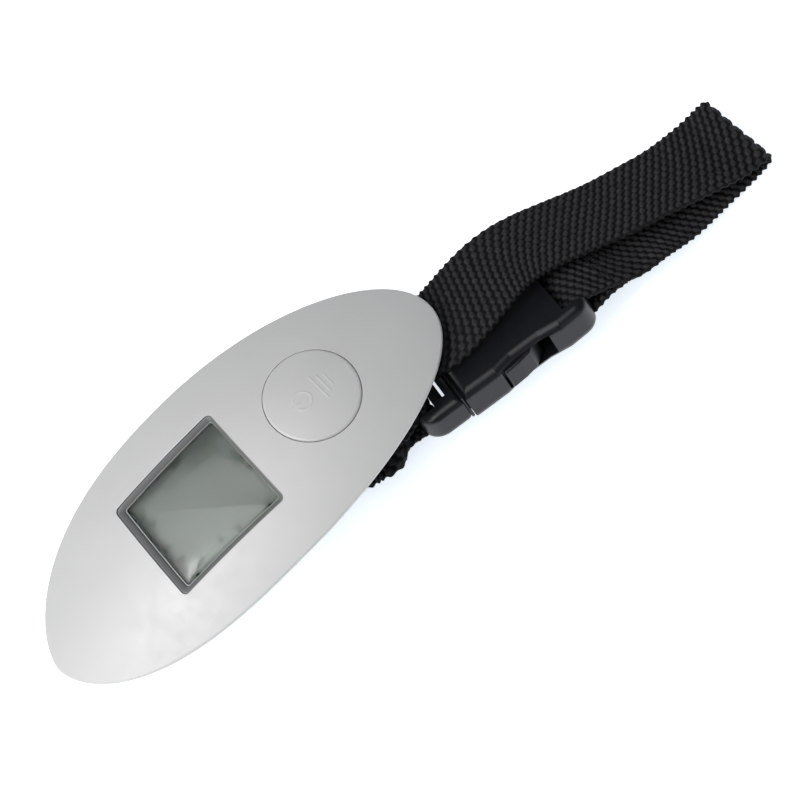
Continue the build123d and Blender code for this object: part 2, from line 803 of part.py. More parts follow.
webbing_far.part.label = "webbing_far"
export_step(webbing_far.part, "parts/webbing_far.step")

# ---------------------------------------------------------------- side-release buckle
slot_half = strap_width / 2 + 0.4
base_half = buckle_width / 2 - 0.2
tongue_end = 30.0
prong_thickness = 4.8
cavity_half = (11.7, 2.9)     # inside of the socket, across and up
slot_end = 38.6


def buckle_block(low, high, mode=Mode.ADD):
    """A box between two corners given in the buckle's own frame."""
    with BuildSketch(buckle_plane.offset(low[2])) as area:
        with Locations(((low[0] + high[0]) / 2, (low[1] + high[1]) / 2)):
            Rectangle(high[0] - low[0], high[1] - low[1])
    extrude(area.sketch, amount=high[2] - low[2], mode=mode)


def round_broad_faces(radius):
    """Round the edges of the buckle's two broad faces."""
    up = Axis(origin=buckle_start, direction=tuple(buckle_normal))
    outer = faces().sort_by(up)
    fillet(outer[0].edges() + outer[-1].edges(), radius=radius)


def webbing_slot(bar_from, bar_to, slot_from, slot_to):
    """Cut a slot for the webbing and thin the bar beside it."""
    reach = socket_thickness
    buckle_block((slot_from, -slot_half, -reach), (slot_to, slot_half, reach), mode=Mode.SUBTRACT)
    buckle_block((bar_from, -slot_half, bar_half), (bar_to, slot_half, reach), mode=Mode.SUBTRACT)
    buckle_block((bar_from, -slot_half, -reach), (bar_to, slot_half, -bar_half), mode=Mode.SUBTRACT)


with BuildPart() as buckle_latch:
    with BuildSketch(buckle_plane.offset(-latch_thickness / 2)):
        with Locations((base_length / 2, 0)):
            Rectangle(base_length, 2 * base_half)
        fillet(vertices().group_by(Axis.X)[0], radius=4.5)
        fillet(vertices().group_by(Axis.X)[-1], radius=0.8)
    extrude(amount=latch_thickness)
    round_broad_faces(1.9)
    webbing_slot(-1.0, bar_width, bar_width, 4.8)
    buckle_block((6.4, -9.4, -5), (8.0, 9.4, 5), mode=Mode.SUBTRACT)
    with BuildSketch(buckle_plane.offset(-1.9)):
        with BuildLine():
            Polyline((base_length - 0.2, -2.4), (tongue_end - 3, -2.4), (tongue_end, -1.0), (tongue_end, 1.0),
                     (tongue_end - 3, 2.4), (base_length - 0.2, 2.4), close=True)
        make_face()
    extrude(amount=3.8)

buckle_latch.part.label = "buckle_latch"
export_step(buckle_latch.part, "parts/buckle_latch.step")

# one spring prong, from its root to the tab that shows in the socket's window
prong_shape = [
    (prong_root_at, 7.4), (16.0, 8.4), (21.5, 9.4), (27.0, 8.6), (30.2, 6.6), (31.2, 7.6), (30.4, 9.6),
    (27.5, 12.2), (22.8, 13.3), (22.0, 13.0), (21.8, 11.2), (16.0, 10.2), (prong_root_at, 9.5),
]

for name, side in (("prong_left", 1), ("prong_right", -1)):
    with BuildPart() as prong:
        with BuildSketch(buckle_plane.offset(-prong_thickness / 2)):
            with BuildLine():
                Polyline(*[(along, side * across) for along, across in prong_shape], close=True)
            make_face()
        extrude(amount=prong_thickness)
    prong.part.label = name
    export_step(prong.part, f"parts/{name}.step")

# half outline of the socket, waisted at the windows
socket_side = [(mouth_at, 13.5), (19.5, 13.5), (24.0, 12.5), (31.0, 12.5), (36.0, 13.4), (buckle_length, 12.8)]

with BuildPart() as buckle_socket:
    with BuildSketch(buckle_plane.offset(-socket_thickness / 2)):
        with BuildLine():
            Polyline(*socket_side, *[(along, -across) for along, across in reversed(socket_side)], close=True)
        make_face()
        fillet(vertices().group_by(Axis.X)[-1], radius=4.2)
    extrude(amount=socket_thickness)
    round_broad_faces(2.2)
    webbing_slot(buckle_length - bar_width, buckle_length + 1, slot_end, buckle_length - bar_width)
    buckle_block((mouth_at - 1, -cavity_half[0], -cavity_half[1]),
                 (window_at[1] + 1, cavity_half[0], cavity_half[1]), mode=Mode.SUBTRACT)
    buckle_block((window_at[0], -15, -cavity_half[1]), (window_at[1], 15, cavity_half[1]), mode=Mode.SUBTRACT)

buckle_socket.part.label = "buckle_socket"
export_step(buckle_socket.part, "parts/buckle_socket.step")
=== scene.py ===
"""Visual model of a digital luggage scale lying on its back, with its webbing strap and buckle.

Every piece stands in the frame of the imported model.  Sizes in the classes are in millimetres and
become metres when a mesh is made.
"""

import logging
import math
from dataclasses import dataclass, field
from enum import Enum

import bmesh
import bpy
import numpy as np
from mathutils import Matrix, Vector
from mathutils.geometry import delaunay_2d_cdt

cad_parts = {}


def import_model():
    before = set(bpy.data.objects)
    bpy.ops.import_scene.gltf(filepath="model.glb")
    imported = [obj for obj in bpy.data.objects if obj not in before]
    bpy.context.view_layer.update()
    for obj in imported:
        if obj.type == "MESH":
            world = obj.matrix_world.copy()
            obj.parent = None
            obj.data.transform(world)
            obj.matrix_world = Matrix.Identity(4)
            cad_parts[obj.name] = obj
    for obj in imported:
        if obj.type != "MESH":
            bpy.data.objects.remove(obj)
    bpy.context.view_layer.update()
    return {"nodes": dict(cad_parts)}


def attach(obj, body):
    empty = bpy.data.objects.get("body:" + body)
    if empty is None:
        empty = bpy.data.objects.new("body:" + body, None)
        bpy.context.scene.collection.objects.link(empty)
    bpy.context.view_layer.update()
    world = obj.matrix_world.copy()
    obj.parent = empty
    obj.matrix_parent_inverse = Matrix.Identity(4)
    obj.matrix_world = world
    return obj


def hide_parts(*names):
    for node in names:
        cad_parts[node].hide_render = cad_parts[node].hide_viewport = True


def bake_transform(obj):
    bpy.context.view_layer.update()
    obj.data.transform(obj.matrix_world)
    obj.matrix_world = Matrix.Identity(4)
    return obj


Pair = tuple[float, float]
Triple = tuple[float, float, float]
Socket = bpy.types.NodeSocket

LOG = logging.getLogger("luggage_scale")
METRE = 0.001
NOISE_SPAN = (0.3, 0.7)


class Body(Enum):
    """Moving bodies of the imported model."""

    HOUSING = "housing"
    BUTTON = "button"
    STRAP = "strap"
    SOCKET = "socket"
    LEFT_PRONG = "left_prong"
    RIGHT_PRONG = "right_prong"


class Slot(Enum):
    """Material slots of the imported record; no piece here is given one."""

    SILVER = "silver_face"
    BEZEL = "bezel_grey"
    LENS = "clear_lens"
    DISPLAY = "lcd_glass"
    WEBBING = "webbing"
    BUCKLE = "buckle_black"


# -------- finishes
class NodeSheet:
    """A material's node tree, with short ways to add and join nodes."""

    def __init__(self, name: str) -> None:
        """Start an empty material with its shader and output.

        Args:
            name: Name of the material.
        """
        self.material = bpy.data.materials.new(name)
        self.material.use_nodes = True
        self.tree = self.material.node_tree
        self.tree.nodes.clear()
        self.shader = self.add("ShaderNodeBsdfPrincipled")
        output = self.add("ShaderNodeOutputMaterial")
        self.join(self.shader.outputs["BSDF"], output.inputs["Surface"])
        self.place = self.add("ShaderNodeTexCoord").outputs["Object"]

    def add(self, kind: str, **settings: object) -> bpy.types.Node:
        """Add a node and set its own properties.

        Args:
            kind: Blender's name of the node type.
            **settings: Properties of the node.

        Returns:
            The new node.
        """
        node = self.tree.nodes.new(kind)
        for key, value in settings.items():
            setattr(node, key, value)
        return node

    def join(self, source: Socket, target: Socket) -> None:
        """Link one socket to another."""
        self.tree.links.new(source, target)

    def noise(self, size: float, detail: float = 3.0,
              stretch: Triple = (1, 1, 1)) -> Socket:
        """Noise of a given size on the object.

        Args:
            size: Width of one patch, in millimetres.
            detail: How many finer layers the noise has.
            stretch: How much longer the patches are along each axis.

        Returns:
            The socket of the noise's value.
        """
        mapping = self.add("ShaderNodeMapping")
        mapping.inputs["Scale"].default_value = [1 / (size * METRE * s) for s in stretch]
        self.join(self.place, mapping.inputs["Vector"])
        noise = self.add("ShaderNodeTexNoise")
        noise.inputs["Scale"].default_value = 1.0
        noise.inputs["Detail"].default_value = detail
        self.join(mapping.outputs["Vector"], noise.inputs["Vector"])
        return noise.outputs["Fac"]

    def between(self, factor: Socket, low: tuple[float, ...],
                high: tuple[float, ...]) -> Socket:
        """A colour that goes from low to high as the factor crosses the span of the noise."""
        ramp = self.add("ShaderNodeValToRGB")
        first, last = ramp.color_ramp.elements
        first.position, last.position = NOISE_SPAN
        first.color, last.color = (*low, 1), (*high, 1)
        self.join(factor, ramp.inputs["Fac"])
        return ramp.outputs["Color"]

    def spread(self, factor: Socket, low: float, high: float) -> Socket:
        """A number that goes from low to high as the factor crosses the span of the noise."""
        scale = self.add("ShaderNodeMapRange")
        for key, value in zip(("From Min", "From Max", "To Min", "To Max"), (*NOISE_SPAN, low, high)):
            scale.inputs[key].default_value = value
        self.join(factor, scale.inputs["Value"])
        return scale.outputs["Result"]

    def bump(self, height: Socket, depth: float, strength: float = 1.0) -> None:
        """Raise the surface by the height, on top of any bump that is there already.

        Args:
            height: Socket of the height, from 0 to 1.
            depth: Height in millimetres where the socket is 1.
            strength: How strongly it shows.
        """
        bump = self.add("ShaderNodeBump")
        bump.inputs["Distance"].default_value = depth * METRE
        bump.inputs["Strength"].default_value = strength
        self.join(height, bump.inputs["Height"])
        if self.shader.inputs["Normal"].is_linked:
            self.join(self.shader.inputs["Normal"].links[0].from_socket, bump.inputs["Normal"])
        self.join(bump.outputs["Normal"], self.shader.inputs["Normal"])


def shade(colour: Triple, factor: float) -> Triple:
    """The colour made lighter or darker by a factor."""
    return tuple(min(1.0, c * factor) for c in colour)


@dataclass(frozen=True)
class Finish:
    """A moulded or painted surface with a fine grain and slightly uneven colour."""

    name: str
    colour: Triple
    roughness: float
    metallic: float = 0.0
    grain: float = 0.35
    relief: float = 0.02
    unevenness: float = 0.05
    gloss: float = 0.5

    def material(self) -> bpy.types.Material:
        """The material of this finish, made once."""
        found = bpy.data.materials.get(self.name)
        if found:
            return found
        sheet = NodeSheet(self.name)
        sheet.shader.inputs["Metallic"].default_value = self.metallic
        sheet.shader.inputs["Specular IOR Level"].default_value = self.gloss
        self.dress(sheet)
        return sheet.material

    def dress(self, sheet: NodeSheet) -> None:
        """Give the sheet its colour, roughness and grain."""
        patch_size, wear_size, wear_swing = 14.0, 3.0, 0.1
        self.wander(sheet, sheet.noise(patch_size, 4.0), sheet.noise(wear_size), wear_swing)
        sheet.bump(sheet.noise(self.grain, 2.0), self.relief)

    def wander(self, sheet: NodeSheet, patches: Socket, wear: Socket,
               swing: float) -> None:
        """Let the colour follow one socket and the roughness another.

        Args:
            sheet: The material.
            patches: Socket that the colour follows.
            wear: Socket that the roughness follows.
            swing: How far the roughness goes to either side, as a share of it.
        """
        low, high = shade(self.colour, 1 - self.unevenness), shade(self.colour, 1 + self.unevenness)
        sheet.join(sheet.between(patches, low, high), sheet.shader.inputs["Base Color"])
        rough = sheet.spread(wear, self.roughness * (1 - swing), self.roughness * (1 + swing))
        sheet.join(rough, sheet.shader.inputs["Roughness"])


@dataclass(frozen=True)
class BrushedFinish(Finish):
    """Metal with fine straight scratches along one axis."""

    along: Triple = (30.0, 1.0, 1.0)
    scratch_swing: float = 0.25

    def dress(self, sheet: NodeSheet) -> None:
        """Give the sheet its colour and its scratches."""
        scratches = sheet.noise(self.grain, 3.0, self.along)
        self.wander(sheet, scratches, scratches, self.scratch_swing)
        sheet.bump(scratches, self.relief)


@dataclass(frozen=True)
class WovenFinish(Finish):
    """Black webbing: dull yarns with painted shade where they dip, and fibres along them."""

    # Share of the yarn colour left in the dips between yarns: painted shade.
    valley_painted_shade: float = 0.06
    fleck_size: float = 0.8
    fleck_shade: float = 0.45

    def dress(self, sheet: NodeSheet) -> None:
        """Give the sheet its yarn colour with painted shade in the dips, and its fibres."""
        lift = sheet.add("ShaderNodeAttribute", attribute_name="lift").outputs["Fac"]
        # Painted shade: the yarn colour darkens towards the dips between yarns, where the lift attribute is
        # low.
        yarn = sheet.between(lift, shade(self.colour, self.valley_painted_shade), self.colour)
        white = (1.0, 1.0, 1.0)
        patches = sheet.noise(self.fleck_size, 4.0, (2.0, 1.0, 1.0))
        fleck = sheet.between(patches, shade(white, self.fleck_shade), white)
        mix = sheet.add("ShaderNodeMix", data_type="RGBA", blend_type="MULTIPLY")
        mix.inputs["Factor"].default_value = 1.0
        sheet.join(yarn, mix.inputs["A"])
        sheet.join(fleck, mix.inputs["B"])
        sheet.join(mix.outputs["Result"], sheet.shader.inputs["Base Color"])
        sheet.shader.inputs["Roughness"].default_value = self.roughness
        sheet.bump(sheet.noise(self.grain, 3.0, (3.0, 1.0, 1.0)), self.relief)


@dataclass(frozen=True)
class ClearFinish(Finish):
    """Clear moulded plastic."""

    def dress(self, sheet: NodeSheet) -> None:
        """Make the sheet see-through, with a faintly uneven surface."""
        sheet.shader.inputs["Base Color"].default_value = (*self.colour, 1)
        sheet.shader.inputs["Transmission Weight"].default_value = 1.0
        sheet.shader.inputs["IOR"].default_value = 1.45
        sheet.shader.inputs["Roughness"].default_value = self.roughness
        sheet.bump(sheet.noise(self.grain, 1.0), self.relief)


@dataclass(frozen=True)
class StripedFinish(Finish):
    """Soft connector rubber with thin dark layers across it."""

    pitch: float = 0.25

    def dress(self, sheet: NodeSheet) -> None:
        """Stripe the sheet along the object's X axis."""
        wave = sheet.add("ShaderNodeTexWave", bands_direction="X")
        wave.inputs["Scale"].default_value = 1 / (self.pitch * METRE * 20)
        sheet.join(sheet.place, wave.inputs["Vector"])
        stripes = sheet.between(wave.outputs["Fac"], shade(self.colour, 0.15), self.colour)
        sheet.join(stripes, sheet.shader.inputs["Base Color"])
        sheet.shader.inputs["Roughness"].default_value = self.roughness
        sheet.bump(wave.outputs["Fac"], self.relief)


SILVER_PAINT = Finish("silver_paint", (0.62, 0.62, 0.615), 0.5, 0.12, 0.22, 0.006, 0.015)
SHELL_PLASTIC = Finish("shell_plastic", (0.30, 0.31, 0.32), 0.55, 0.0, 0.4, 0.02, 0.04)
BEZEL_PLASTIC = Finish("bezel_plastic", (0.19, 0.195, 0.195), 0.38, 0.0, 0.3, 0.006, 0.04)
# Lighter copy of the bezel plastic for the window's bead: a painted highlight.
BEZEL_HIGHLIGHT_BEAD = Finish("bezel_bead_painted_highlight", (0.42, 0.44, 0.43), 0.35, 0.0, 0.3, 0.004, 0.04)
CLEAR_LENS = ClearFinish("lens_plastic", (0.97, 0.985, 0.975), 0.16, 0.0, 9.0, 0.004)
DISPLAY_GLASS = Finish("display_glass", (0.185, 0.215, 0.185), 0.35, 0.0, 0.5, 0.001, 0.07)
STRIPED_RUBBER = StripedFinish("striped_rubber", (0.72, 0.66, 0.6), 0.7, 0.0, 0.3, 0.02)
BOARD_LACQUER = Finish("board_lacquer", (0.03, 0.17, 0.07), 0.3, 0.0, 0.9, 0.03, 0.25)
CHIP_RESIN = Finish("chip_resin", (0.02, 0.02, 0.02), 0.6, 0.0, 0.2, 0.01, 0.1)
PLATED_STEEL = BrushedFinish("plated_steel", (0.62, 0.62, 0.63), 0.32, 1.0, 0.12, 0.004, 0.08)
NICKEL_WIRE = BrushedFinish("nickel_wire", (0.72, 0.71, 0.70), 0.18, 1.0, 0.2, 0.003, 0.05, along=(1, 12, 1))
CELL_ALUMINIUM = BrushedFinish("cell_aluminium", (0.78, 0.79, 0.80), 0.38, 1.0, 0.12, 0.006, 0.06)
GAUGE_FOIL = Finish("gauge_film", (0.62, 0.30, 0.06), 0.35, 0.0, 0.3, 0.01, 0.15)
SPRING_BRASS = BrushedFinish("spring_brass", (0.80, 0.63, 0.33), 0.3, 1.0, 0.15, 0.004, 0.08)
LEAD_RUBBER = Finish("lead_rubber", (0.45, 0.03, 0.02), 0.45, 0.0, 0.3, 0.01, 0.1)
CAN_STEEL = BrushedFinish("can_steel", (0.70, 0.70, 0.71), 0.25, 1.0, 0.15, 0.003, 0.06, along=(1, 20, 1))
# The webbing finish paints shade into the dips between its yarns.
BLACK_WEBBING = WovenFinish("black_webbing", (0.034, 0.034, 0.037), 0.75, 0.0, 0.16, 0.05, gloss=0.25)
BLACK_THREAD = Finish("black_thread", (0.012, 0.012, 0.014), 0.8, 0.0, 0.1, 0.02, 0.2, 0.15)
BLACK_ACETAL = Finish("black_acetal", (0.0055, 0.006, 0.0085), 0.33, 0.0, 0.5, 0.006, 0.15, 0.42)

NODES_WITH_FINISH: dict[Finish, tuple[str, ...]] = {
    SHELL_PLASTIC: ("rear_shell", "battery_cover"),
    DISPLAY_GLASS: ("lcd_panel",),
    BEZEL_PLASTIC: ("lcd_frame",),
    STRIPED_RUBBER: ("zebra_strips",),
    BOARD_LACQUER: ("circuit_board",),
    CHIP_RESIN: ("controller_chip", "tact_switch", "switch_plunger"),
    CELL_ALUMINIUM: ("load_cell",),
    GAUGE_FOIL: ("strain_gauges",),
    LEAD_RUBBER: ("gauge_leads", "battery_leads"),
    PLATED_STEEL: ("cell_screws", "hook_block", "hook_screws", "case_screws", "board_screws"),
    NICKEL_WIRE: ("strap_ring",),
    CAN_STEEL: ("coin_cell",),
    SPRING_BRASS: ("contact_negative", "contact_positive"),
    BLACK_ACETAL: ("buckle_latch", "prong_left", "prong_right", "buckle_socket"),
}


# -------- mesh tools
class Shape:
    """Collects the points and faces of one mesh, in millimetres."""

    def __init__(self) -> None:
        """Start with nothing."""
        self.points: list[Triple] = []
        self.faces: list[tuple[int, ...]] = []

    def ring(self, points: np.ndarray) -> list[int]:
        """Add a row of points.

        Args:
            points: Array of shape (n, 3).

        Returns:
            The places of the points in the mesh.
        """
        start = len(self.points)
        self.points.extend(tuple(p) for p in points)
        return list(range(start, len(self.points)))

    def bridge(self, first: list[int], second: list[int], closed: bool = True) -> None:
        """Join two rows of as many points with four-sided faces."""
        count = len(first)
        for i in range(count if closed else count - 1):
            j = (i + 1) % count
            self.faces.append((first[i], first[j], second[j], second[i]))

    def chain(self, rows: list[list[int]], closed: bool = True) -> None:
        """Join each row to the next."""
        for first, second in zip(rows, rows[1:]):
            self.bridge(first, second, closed)

    def cap(self, row: list[int]) -> None:
        """Close a row with one face."""
        self.faces.append(tuple(row))

    def skin(self, rows: list[list[int]]) -> None:
        """Join each row to the next and close both ends."""
        self.chain(rows)
        self.cap(rows[0])
        self.cap(rows[-1])

    def fill(self, outer: list[int], holes: list[list[int]], spacing: float, height: "Face") -> None:
        """Fill the space between an outer row and some holes with triangles that follow a surface.

        Args:
            outer: The row round the outside.
            holes: Rows round the holes.
            spacing: Distance between the points added inside, in millimetres.
            height: Gives z for arrays of x and y.
        """
        rows = [outer, *holes]
        loops = [np.array([self.points[i][:2] for i in row]) for row in rows]
        rim = np.vstack(loops)
        low, high = rim.min(0), rim.max(0)
        across, along = np.meshgrid(np.arange(low[0], high[0], spacing), np.arange(low[1], high[1], spacing))
        grid = np.c_[across.ravel(), along.ravel()]
        grid[:, 0] += np.where(np.round((grid[:, 1] - low[1]) / spacing) % 2, spacing / 2, 0)
        clearance = 0.6 * spacing
        clear = np.array([np.hypot(*(rim - p).T).min() > clearance for p in grid])
        grid = grid[clear & self.in_region(grid, loops)]
        inner = self.ring(np.c_[grid, height(grid[:, 0], grid[:, 1])])
        names = [i for row in rows for i in row] + inner
        flat = [Vector(self.points[i][:2]) for i in names]
        edges, start = [], 0
        for row in rows:
            count = len(row)
            edges += [(start + i, start + (i + 1) % count) for i in range(count)]
            start += count
        _, _, triangles, came_from, _, _ = delaunay_2d_cdt(flat, edges, [], 0, 1e-6)
        centres = np.array([np.mean([flat[came_from[i][0]] for i in t], axis=0) for t in triangles])
        for keep, triangle in zip(self.in_region(centres, loops), triangles):
            if keep:
                self.faces.append(tuple(names[came_from[i][0]] for i in triangle))

    @staticmethod
    def in_region(points: np.ndarray, loops: list[np.ndarray]) -> np.ndarray:
        """True for each point that lies inside an odd number of the loops."""
        inside = np.zeros(len(points), bool)
        for loop in loops:
            for (x0, y0), (x1, y1) in zip(loop, np.roll(loop, -1, axis=0)):
                if y0 == y1:
                    continue
                spans = (y0 > points[:, 1]) != (y1 > points[:, 1])
                crosses = points[:, 0] < (x1 - x0) * (points[:, 1] - y0) / (y1 - y0) + x0
                inside ^= spans & crosses
        return inside

    def object(self, name: str, closed: bool = True) -> bpy.types.Object:
        """Make the mesh and its object.

        Args:
            name: Name of the piece.
            closed: Whether the mesh is a closed body, whose faces are turned outwards.

        Returns:
            The new object, at the origin.
        """
        mesh = bpy.data.meshes.new(name)
        mesh.from_pydata([tuple(c * METRE for c in p) for p in self.points], [], self.faces)
        made = bpy.data.objects.new(name, mesh)
        bpy.context.scene.collection.objects.link(made)
        if closed:
            body = bmesh.new()
            body.from_mesh(mesh)
            bmesh.ops.recalc_face_normals(body, faces=body.faces)
            body.to_mesh(mesh)
            body.free()
        mesh.polygons.foreach_set("use_smooth", [True] * len(mesh.polygons))
        mesh.update()
        return made


def keep_edges(piece: bpy.types.Object) -> None:
    """Let broad faces shade flat up to their rounded edges."""
    piece.modifiers.new("even_normals", "WEIGHTED_NORMAL").weight = 80


def present(piece: bpy.types.Object, finish: Finish, body: Body | None,
            nodes: tuple[str, ...] = ()) -> None:
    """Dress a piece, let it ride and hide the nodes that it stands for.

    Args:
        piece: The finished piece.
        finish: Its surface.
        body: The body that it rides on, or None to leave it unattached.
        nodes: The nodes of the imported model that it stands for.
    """
    if not piece.data.materials:
        piece.data.materials.append(finish.material())
    if body:
        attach(piece, body.value)
    if nodes:
        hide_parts(*nodes)
    LOG.info("%s: %d faces", piece.name, len(piece.data.polygons))


def offset(loop: np.ndarray, distance: float) -> np.ndarray:
    """A counter-clockwise loop moved outwards by a distance."""
    tangent = np.roll(loop, -1, axis=0) - np.roll(loop, 1, axis=0)
    tangent /= np.hypot(*tangent.T)[:, None]
    return loop + distance * np.c_[tangent[:, 1], -tangent[:, 0]]


def circle(centre_x: float, radius: float, count: int = 120) -> np.ndarray:
    """Points round a circle on the X axis."""
    turn = np.linspace(0, 2 * math.pi, count, endpoint=False)
    return np.c_[centre_x + radius * np.cos(turn), radius * np.sin(turn)]


def rounded(corners: list[Pair], radius: float, steps: int = 8,
            side_steps: int = 14) -> np.ndarray:
    """Points round a polygon with rounded corners.

    Args:
        corners: The corners, counter-clockwise.
        radius: Radius of each corner.
        steps: Points along each corner.
        side_steps: Points along each side.

    Returns:
        Array of shape (n, 2).
    """
    points = []
    count = len(corners)
    arcs = []
    for i in range(count):
        here = np.array(corners[i])
        back = np.array(corners[i - 1]) - here
        on = np.array(corners[(i + 1) % count]) - here
        back, on = back / np.hypot(*back), on / np.hypot(*on)
        half = math.acos(float(back @ on)) / 2
        middle = here + (back + on) / np.hypot(*(back + on)) * radius / math.sin(half)
        start = here + back * radius / math.tan(half) - middle
        first = math.atan2(start[1], start[0])
        turn = math.pi - 2 * half
        angles = first + np.linspace(0, turn, steps)
        arcs.append(np.c_[middle[0] + radius * np.cos(angles), middle[1] + radius * np.sin(angles)])
    for i, arc in enumerate(arcs):
        points.append(arc)
        following = arcs[(i + 1) % count][0]
        share = np.linspace(0, 1, side_steps + 2)[1:-1, None]
        points.append(arc[-1] + share * (following - arc[-1]))
    return np.vstack(points)


# -------- housing
@dataclass(frozen=True)
class Face:
    """The arched face of the body, lowered by a depth."""

    apex: float = 32.0
    arch_radius: float = 131.0
    crown_radius: float = 73.0
    depth: float = 0.0

    def __call__(self, x: np.ndarray, y: np.ndarray) -> np.ndarray:
        """Height of the surface over the points given by x and y."""
        reach = self.arch_radius - self.crown_radius + np.sqrt(self.crown_radius**2 - np.square(y))
        return self.apex - self.depth - self.arch_radius + np.sqrt(reach**2 - np.square(x))

    def lowered(self, depth: float) -> "Face":
        """The same surface, lower by a depth."""
        return Face(self.apex, self.arch_radius, self.crown_radius, self.depth + depth)

    def on(self, loop: np.ndarray, drop: float = 0.0) -> np.ndarray:
        """The loop laid on the surface, or below it by the drop."""
        return np.c_[loop, self(loop[:, 0], loop[:, 1]) - drop]


@dataclass
class Housing:
    """The oval front cover, its display and its button."""

    half_length: float = 55.0
    half_width: float = 23.45
    blunt_end: Pair = (1.96, 2.03)
    fuller_end: Pair = (2.65, 1.69)
    rim_height: float = 2.6
    parting_radius: float = 187.5
    wall: float = 2.0
    edge_radius: float = 0.4
    hole_radius: float = 0.1
    window_edge: tuple[Pair, ...] = ((-24.0, -11.8), (4.9, -12.6), (5.5, 13.0), (-22.9, 12.8))
    window_corner: float = 1.2
    lens_corner: float = 0.6
    bezel_width: float = 1.4
    border_share: Pair = (1.35, 0.6)
    bezel_drop: float = 1.25
    glass_top: float = 25.756
    button_x: float = 23.52
    button_radius: float = 10.3
    button_gap: float = 0.13
    face: Face = field(default_factory=Face)

    def outline(self, count: int = 260) -> np.ndarray:
        """Points round the oval body."""
        turn = np.linspace(0, 2 * math.pi, count, endpoint=False)
        x = np.cos(turn)
        inner = np.where(x >= 0, self.blunt_end[0], self.fuller_end[0])
        outer = np.where(x >= 0, self.blunt_end[1], self.fuller_end[1])
        width = np.maximum(0, 1 - np.abs(x) ** inner) ** (1 / outer)
        return np.c_[self.half_length * x, self.half_width * np.sign(np.sin(turn)) * width]

    def window(self, inset: float) -> np.ndarray:
        """Points round the display window, drawn in by the inset along its sides."""
        corners = []
        for x, y in self.window_edge:
            shift = self.border_share[0] * inset if x < 0 else -self.border_share[1] * inset
            corners.append((x + shift, y + inset if y < 0 else y - inset))
        share = min(1.0, max(0.0, inset / self.bezel_width))
        return rounded(corners, self.window_corner + share * (self.lens_corner - self.window_corner))

    def parting(self, x: np.ndarray) -> np.ndarray:
        """Height of the joint between the two shells."""
        crown = self.face.crown_radius
        top = self.face.apex - (crown - math.sqrt(crown**2 - self.half_width**2)) - self.rim_height
        return top - self.parting_radius + np.sqrt(self.parting_radius**2 - np.square(x))

    def rounded_rim(self, shape: Shape, loop: np.ndarray, outward: int, radius: float) -> list[list[int]]:
        """Rows that turn from the face down over a rounded edge.

        Args:
            shape: The mesh that they join.
            loop: The edge seen from above.
            outward: 1 where the metal lies inside the loop, and -1 round a hole.
            radius: Radius of the edge.

        Returns:
            The rows, from the face to the wall.
        """
        rows = []
        for turn in np.linspace(0, math.pi / 2, 6):
            inset = radius * (1 - math.sin(turn))
            ring = offset(loop, -outward * inset)
            rows.append(shape.ring(self.face.on(ring, radius * (1 - math.cos(turn)))))
        return rows

    def build_cover(self) -> None:
        """Make the arched front cover with its window and its button hole."""
        shape = Shape()
        outline = self.outline()
        rim = self.rounded_rim(shape, outline, 1, self.edge_radius)
        holes = [self.window(0.0), circle(self.button_x, self.button_radius + self.button_gap)]
        hole_rows = [self.rounded_rim(shape, hole, -1, self.hole_radius) for hole in holes]
        shape.fill(rim[0], [rows[0] for rows in hole_rows], 1.5, self.face)
        parting = self.parting(outline[:, 0])
        inner = offset(outline, -self.wall)
        under = self.face.lowered(self.wall)
        lip = shape.ring(np.c_[offset(outline, -1.0), parting])
        shape.chain([*rim, shape.ring(self.face.on(offset(outline, -0.04), 0.75)), lip])
        inner_low = shape.ring(np.c_[inner, parting])
        inner_top = shape.ring(np.c_[inner, np.maximum(under(inner[:, 0], inner[:, 1]), parting + 0.3)])
        shape.chain([lip, inner_low, inner_top])
        low_rows = []
        for hole, rows in zip(holes, hole_rows):
            low_rows.append(shape.ring(under.on(hole)))
            shape.chain([*rows, low_rows[-1]])
        shape.fill(inner_top, low_rows, 3.0, under)
        cover = shape.object("front_cover_plate")
        keep_edges(cover)
        present(cover, SILVER_PAINT, Body.HOUSING, ("front_cover",))

    def build_bezel(self) -> None:
        """Make the sloping border of the window and the thin bead along its inner edge, whose lighter grey is
        a painted highlight.
        """
        shape = Shape()
        foot = self.wall + 0.6
        inner = self.bezel_width - 0.2
        profile = [(0.05, foot), (0.05, 0.45), (0.10, 0.33), (0.2, 0.32), (0.5, 0.55), (0.85, 0.9),
                   (inner, self.bezel_drop), (inner, foot)]
        rows = [shape.ring(self.face.on(self.window(inset), drop)) for inset, drop in profile]
        shape.chain([*rows, rows[0]])
        bezel = shape.object("window_bezel_ring")
        keep_edges(bezel)
        present(bezel, BEZEL_PLASTIC, Body.HOUSING, ("window_bezel",))
        bead = Shape()
        centre, half_width, half_height = self.bezel_width - 0.09, 0.1, 0.12
        rows = []
        for turn in np.linspace(0, 2 * math.pi, 10, endpoint=False):
            loop = self.window(centre + half_width * math.cos(turn))
            rows.append(bead.ring(self.face.on(loop, self.bezel_drop - half_height * math.sin(turn))))
        bead.chain([*rows, rows[0]])
        # The bead's lighter grey is a painted highlight along the window's inner edge.
        present(bead.object("window_highlight_bead"), BEZEL_HIGHLIGHT_BEAD, Body.HOUSING)

    def build_lens(self) -> None:
        """Make the clear lens, slightly domed and rounded at its edge."""
        shape = Shape()
        top = self.face.lowered(self.bezel_drop + 0.02)
        rows = []
        for inset, drop in ((0.05, 0.9), (0.0, 0.35), (0.08, 0.13), (0.35, 0.0), (0.9, -0.08), (1.8, -0.17)):
            rows.append(shape.ring(top.on(self.window(self.bezel_width + 0.02 + inset), drop)))
        shape.chain(rows)
        shape.fill(rows[-1], [], 1.5, top.lowered(-0.17))
        low = [shape.ring(top.on(self.window(self.bezel_width + 0.62), 0.95))]
        shape.chain([rows[0], *low])
        shape.fill(low[0], [], 3.0, top.lowered(0.95))
        lens = shape.object("display_lens")
        present(lens, CLEAR_LENS, Body.HOUSING, ("display_window",))

